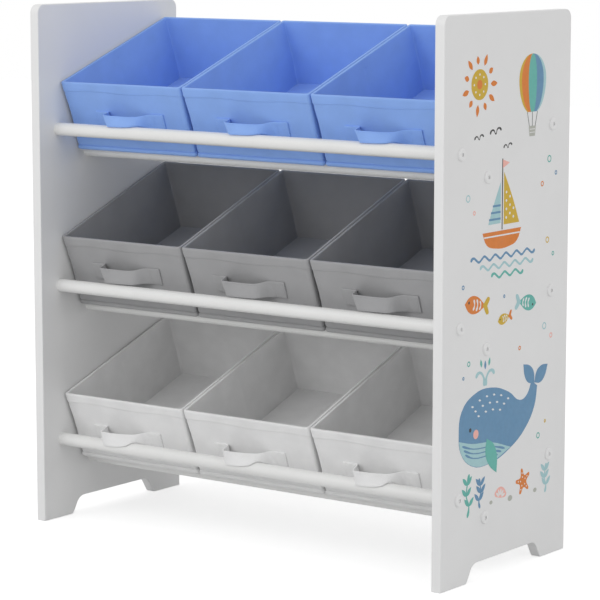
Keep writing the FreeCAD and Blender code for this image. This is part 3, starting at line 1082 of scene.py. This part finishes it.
def lay_ink(at, *fills, turn=0, size=1):
    """Print a motif. A fill is an ink, a layer and its outlines about the motif's own middle."""
    swing_round = Matrix.Rotation(radians(turn), 2)
    for ink, layer, *outlines in fills:
        drawing = bpy.data.curves.new("ink", "CURVE")
        drawing.dimensions = "2D"
        drawing.fill_mode = "BOTH"
        drawing.extrude = INK_THICK / 2
        drawing.resolution_u = CURVE_STEPS
        for outline in outlines:
            spline = drawing.splines.new("BEZIER")
            spline.bezier_points.add(len(outline) - 1)
            spline.use_cyclic_u = True
            for point, spot in zip(spline.bezier_points, outline):
                place = Vector(at) + swing_round @ Vector(spot[:2]) * size
                point.co = (place.x * MM, place.y * MM, 0)
                kind = "VECTOR" if spot[-1] == CORNER else "AUTO"
                point.handle_left_type = point.handle_right_type = kind
        carrier = show("ink", drawing)
        bpy.context.view_layer.update()
        film = bpy.data.meshes.new_from_object(carrier)
        bpy.data.objects.remove(carrier)
        film.transform(Matrix.Translation((0, 0, (layer + 1) * INK_LAYER)))
        film.materials.clear()
        film.materials.append(inks[ink])
        printed.append(show("ink", film))


# %% [markdown]
# ## The sky: a sun, a balloon and gulls
# Each motif is drawn about its own middle, from the simplest outlines that give its shape. The
# balloon's gores follow one formula, narrower towards the middle, so their edges always meet.

# %% Sun
RAYS = 11
DOTS = 8


def ray(index):
    """One pointed ray; every second one is shorter."""
    degrees = 360 * index / RAYS
    return leaf(polar(21, degrees), polar(34 - 4 * (index % 2), degrees), 6)


sun_dots = [oval(1.2, at=polar(10.5, 360 * index / DOTS)) for index in range(DOTS)]
lay_ink((66, 527), ("mustard", 0, oval(16)), ("orange", 0, *map(ray, range(RAYS))),
        ("bare", 1, *sun_dots), ("orange", 1, oval(5)))
print("sun, fills so far:", len(printed))

# %% Balloon
BALLOON = 27
GORES = ("mustard", "orange", "teal", "slate", "pale_teal")
MOUTH_TURN = 158
LOWER_HALF = 1.4


def balloon_edge(share, steps=9):
    """One seam of the balloon from the top to the mouth; share is 1 at its right side."""
    turns = [radians(MOUTH_TURN * index / steps) for index in range(steps + 1)]
    return [(share * BALLOON * sin(turn), BALLOON * cos(turn) * (1 if cos(turn) > 0 else LOWER_HALF))
            for turn in turns]


def gore(index):
    """The band between two seams, with corners at the top and the mouth."""
    left, right = (sin(pi * (place / len(GORES) - 0.5)) for place in (index, index + 1))
    (top, *here, here_end), (_, *there, there_end) = balloon_edge(left), balloon_edge(right)
    return [(*top, CORNER), *here, (*here_end, CORNER), (*there_end, CORNER), *reversed(there)]


mouth_x, mouth_y = balloon_edge(1)[-1]
basket_y = mouth_y - 15
ropes = [bar((side * mouth_x, mouth_y), (side * 6, basket_y), 0.9) for side in (-1, 0, 1)]
basket = [(x, basket_y - low, CORNER) for x, low in ((-7, 0), (7, 0), (5.5, 11), (-5.5, 11))]
weave = [bar((-5.2, basket_y - low), (5.2, basket_y - low), 0.8) for low in (3.5, 7)]
lay_ink((170, 528), *[(name, 0, gore(index)) for index, name in enumerate(GORES)],
        ("black", 0, *ropes), ("warm_grey", 1, basket), ("bare", 2, *weave))
print("balloon, fills so far:", len(printed))

# %% Gulls
gull = stroke([(-11, 2), (-7, 5), (-3, 4), (0, 0), (3, 4), (7, 5), (11, 2)], 1.8)
for place, size in (((98, 474), 1.0), ((122, 458), 0.75), ((66, 470), 0.8)):
    lay_ink(place, ("black", 0, gull), turn=8, size=size)
print("gulls, fills so far:", len(printed))

# %% [markdown]
# ## The sea: a boat, waves and fish
# What is printed twice in other colours, such as the fish, is drawn once and asked for its inks.

# %% Boat and waves
hull = [(-38, 0, CORNER), (38, 0, CORNER), (30, -13), (14, -18), (-14, -18), (-30, -13)]
main_sail = [(3, 6, CORNER), (3, 62, CORNER), (20, 34), (34, 6, CORNER)]
fore_sail = [(-3, 8, CORNER), (-3, 52, CORNER), (-18, 26), (-27, 8, CORNER)]
pennant = [(0.5, 66, CORNER), (0.5, 75, CORNER), (14, 71, CORNER)]
sail_dots = [oval(1.5, at=(8 + 7 * column, 13 + 9 * row + 4 * (column % 2)))
             for row in range(4) for column in range(3 - row // 2) if 3 * row + 4 * column < 12]
sail_bands = [bar((-3, height), (-25.5 + 0.5 * (height - 13), height), 2.2) for height in (13, 20, 27)]
hull_band = bar((-35, -5), (35, -5), 1.6)
mast = bar((0, 1), (0, 76), 1.8)
lay_ink((112, 371), ("orange", 0, hull), ("bare", 1, hull_band), ("black", 0, mast),
        ("mustard", 0, main_sail), ("bare", 1, *sail_dots), ("pale_teal", 0, fore_sail),
        ("slate", 1, *sail_bands), ("blush", 1, pennant))
for ink, low, left, count in (("slate", 344, 52, 6), ("pale_teal", 334, 70, 5), ("teal", 324, 92, 3)):
    lay_ink((left, low), (ink, 0, stroke(wave((0, 0), (21 * count, 0), 2.6, count), 2.6)))
print("boat and waves, fills so far:", len(printed))


# %% Fish
def fish(at, body, tail, size=1, turn=0):
    """A fish that swims to the left."""
    shape = [(-21, 0, CORNER), (-12, 8), (2, 9), (16, 2, CORNER), (16, -2, CORNER), (2, -9), (-12, -8)]
    fins = [(14, 0, CORNER), (26, 9), (23, 0, CORNER), (26, -9)]
    bands = [stroke([(x, 6.5 - abs(x) / 4), (x + 2, 0), (x, abs(x) / 4 - 6.5)], 1.6) for x in (-4, 2, 8)]
    eye = oval(1.5, at=(-13, 2))
    lay_ink(at, (body, 0, shape), (tail, 1, fins), ("bare", 1, *bands), ("black", 1, eye),
            size=size, turn=turn)


fish((62, 297), "orange", "mustard", turn=-8)
fish((164, 288), "teal", "pale_teal", size=0.9, turn=172)
fish((118, 276), "mustard", "orange", size=0.6, turn=10)
print("fish, fills so far:", len(printed))

# %% [markdown]
# ## A whale
# The largest motif sits low on the panel, where a small child looks. Its body is one outline, and
# its belly, fin and speckles lie on it in layers.

# %% Whale
body = [(-70, 0), (-65, 24), (-42, 39), (-8, 42), (28, 32), (50, 20), (64, 24), (73, 38, CORNER),
        (85, 31, CORNER), (80, 10), (62, -12), (30, -30), (-10, -40), (-45, -37), (-66, -20)]
belly = [(-69.5, -7, CORNER), (-45, -13), (-8, -17), (32, -28.5, CORNER), (-10, -39.5),
         (-45, -36.5), (-65, -21)]
flukes = [leaf((79, 35), (56, 58), 17), leaf((79, 35), (106, 52), 17)]
folds = [stroke([(-63 + 3 * index, -13 - 5 * index), (-42, -19 - 5 * index), (-6, -22 - 4.5 * index),
                 (20 - 7 * index, -28 - 2.5 * index)], 1.2) for index in range(3)]
spout = [stroke([(side * 1.5, 0), (side * 3, 9), (side * 11, 15), (side * 18, 11)], 3)
         for side in (-1, 1)]
drops = [leaf((side * 7, 20), (side * 9, 29), 4) for side in (-1, 1)]


def speckle(row, index):
    """One of the pale marks that follow the curve of the back in rows."""
    x = -44 + 14 * index + 6 * row
    y = 34 - (x + 10) ** 2 / 150 - 8 * row
    return leaf((x - 2.5, y + 0.5), (x + 2.5, y - 0.5), 2.2)


speckles = [speckle(row, index) for row in range(3) for index in range(6 - row)]
cheek, eye, fin = oval(5, at=(-37, -4)), oval(2.3, at=(-48, 2)), leaf((-16, -12), (4, -52), 20)
lay_ink((102, 163), ("slate", 0, body), ("slate", 1, flukes[0]), ("slate", 2, flukes[1]),
        ("pale_teal", 1, belly), ("slate", 2, *folds), ("bare", 1, *speckles), ("blush", 1, cheek),
        ("black", 1, eye), ("teal", 3, fin))
lay_ink((82, 209), ("pale_teal", 0, spout[0]), ("pale_teal", 1, spout[1]), ("teal", 0, *drops),
        ("slate", 0, leaf((0, 17), (0, 27), 4)))
print("whale, fills so far:", len(printed))

# %% Sea bed and bubbles
STAR_ARMS = 5


def weed(at, ink, tall, lean):
    """A wavy stalk with leaves to both sides."""
    stalk = [(lean * sin(2 * step), tall * step / 4) for step in range(5)]
    lay_ink(at, (ink, 0, stroke(stalk, 2)))
    for step, (x, y) in enumerate(stalk[1:4]):
        for side in (-1, 1):
            lay_ink(at, (ink, step % 2 + (side + 3) // 2, leaf((x, y), (x + side * 9, y + 9), 5)))


weed((50, 72), "teal", 46, 3)
weed((74, 78), "slate", 32, -2)
weed((206, 72), "pale_teal", 32, 2)
star = [tuple(polar(15 - 8 * (index % 2), 90 + 180 * index / STAR_ARMS))
        for index in range(2 * STAR_ARMS)]
star_dots = [oval(0.9, at=polar(reach, 90 + 360 * arm / STAR_ARMS))
             for arm in range(STAR_ARMS) for reach in (5, 9.5)]
lay_ink((160, 92), ("orange", 0, star), ("bare", 1, *star_dots), turn=12)
fan = [(-2, 0, CORNER), *[tuple(polar(12, degrees)) for degrees in range(165, 0, -30)],
       (2, 0, CORNER)]
ribs = [stroke([polar(3, degrees), polar(10, degrees)], 0.9) for degrees in range(30, 180, 30)]
lay_ink((114, 82), ("blush", 0, fan), ("bare", 1, *ribs), turn=-10)
for place, across in (((134, 78), 4.5), ((185, 78), 3.5), ((96, 80), 3.0)):
    lay_ink(place, ("warm_grey", 0, oval(across, across * 0.7)))
BUBBLES = (
    ((206, 440), "teal", 4), ((220, 424), "slate", 2.5), ((192, 414), "orange", 3),
    ((46, 410), "pale_teal", 4), ((58, 394), "blush", 2.5), ((204, 352), "mustard", 3.5),
    ((216, 336), "teal", 2.5), ((38, 318), "slate", 2.5), ((214, 246), "blush", 3),
    ((200, 258), "pale_teal", 4), ((50, 236), "teal", 3), ((40, 222), "slate", 2),
    ((150, 240), "orange", 2.5), ((190, 138), "teal", 3.5), ((204, 152), "mustard", 2),
    ((118, 300), "slate", 2),
)
BUBBLE_RING = 1.3

for place, ink, radius in BUBBLES:
    lay_ink(place, (ink, 0, oval(radius), oval(radius - BUBBLE_RING)))
print(len(printed), "fills of ink")


# %% [markdown]
# ## The same print on both sides
# All the films are joined into one piece, and vertices that share a place are merged, which
# closes each film. The left panel gets the mirror image, whose faces are then turned out again.

# %% Prints on their panels
def on_panel(side):
    """The matrix from the drawing, in its own plane, to a panel's outer face."""
    low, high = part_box(f"{side}_side_panel")
    face_x, out = (high[0], 1) if side == "right" else (low[0], -1)
    return Matrix(((0, 0, out, face_x), (1, 0, 0, low[1]), (0, 1, 0, low[2]), (0, 0, 0, 1)))


side_print = joined(*printed)
edit(side_print, action="SELECT")
bpy.ops.mesh.remove_doubles(threshold=0.002 * MM)
deselect()
for side in SIDES:
    mesh = side_print.data.copy()
    mesh.transform(on_panel(side))
    if side == "left":
        mesh.flip_normals()
    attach(show(f"side_print_{side}", mesh), "frame")
print("print of", faces_of(side_print), "faces on each side")
bpy.data.objects.remove(side_print)

# %% [markdown]
# ## Floor, background and light
# The floor and the world are white to the camera and to reflections, and pale grey to
# everything else, so that the background is white without flooding the object with light. The
# floor still darkens where the object keeps the light off it.

# %% Floor and world
WORLD_LIGHT = 0.71
FLOOR_SIZE = 12.0
FLOOR_GREY = (0.70, 0.70, 0.70, 1)
FLOOR_GLOW = 0.55


def white_to_camera(tree):
    """One where a ray comes from the camera, a reflection or clear glass, zero elsewhere."""
    rays = add_node(tree, "ShaderNodeLightPath").outputs
    seen = combine(tree, "MAXIMUM", rays["Is Camera Ray"], rays["Is Glossy Ray"])
    return combine(tree, "MAXIMUM", seen, rays["Is Transmission Ray"])


world = bpy.data.worlds.new("studio")
bpy.context.scene.world = world
world.use_nodes = True
world_tree = world.node_tree
sky = world_tree.nodes["Background"]
strength = stretch(world_tree, white_to_camera(world_tree), 0, 1, WORLD_LIGHT, 1)
world_tree.links.new(strength, sky.inputs["Strength"])
sky.inputs["Color"].default_value = (1, 1, 1, 1)

floor_finish, floor_tree, floor_shader = new_finish("studio_floor", 0.9)
floor_shader.inputs["Base Color"].default_value = FLOOR_GREY
floor_shader.inputs["Emission Color"].default_value = (1, 1, 1, 1)
glow = stretch(floor_tree, white_to_camera(floor_tree), 0, 1, 0, FLOOR_GLOW)
floor_tree.links.new(glow, floor_shader.inputs["Emission Strength"])
deselect()
bpy.ops.mesh.primitive_plane_add(size=FLOOR_SIZE)
floor = bpy.context.object
floor.name = "studio_floor"
floor.data.materials.append(floor_finish)
print("world light", WORLD_LIGHT, "floor glow", FLOOR_GLOW)

# %% [markdown]
# ## Soft boxes
# A large lamp in front, above the rack, lights the bins' fronts and the rails' tops, and a weaker
# one lights the right panel. The world fills the shadows. A single bulb would be simpler, but the
# picture has no hard shadow anywhere.

# %% Lamps


def soft_box(name, place, size, power, target=(0, 0, 0.3)):
    """A square lamp that faces a target, its power in watts."""
    way = Vector(target) - Vector(place)
    facing = way.to_track_quat("-Z", "Y").to_euler()
    bpy.ops.object.light_add(type="AREA", location=place, rotation=facing)
    lamp = bpy.context.object
    lamp.name = name
    lamp.data.size = size
    lamp.data.energy = power
    print(name, power, "W")


soft_box("front_box", (-0.6, -2.8, 1.8), size=2.2, power=27)
soft_box("side_box", (3.0, -0.4, 1.6), size=2.0, power=9.5)
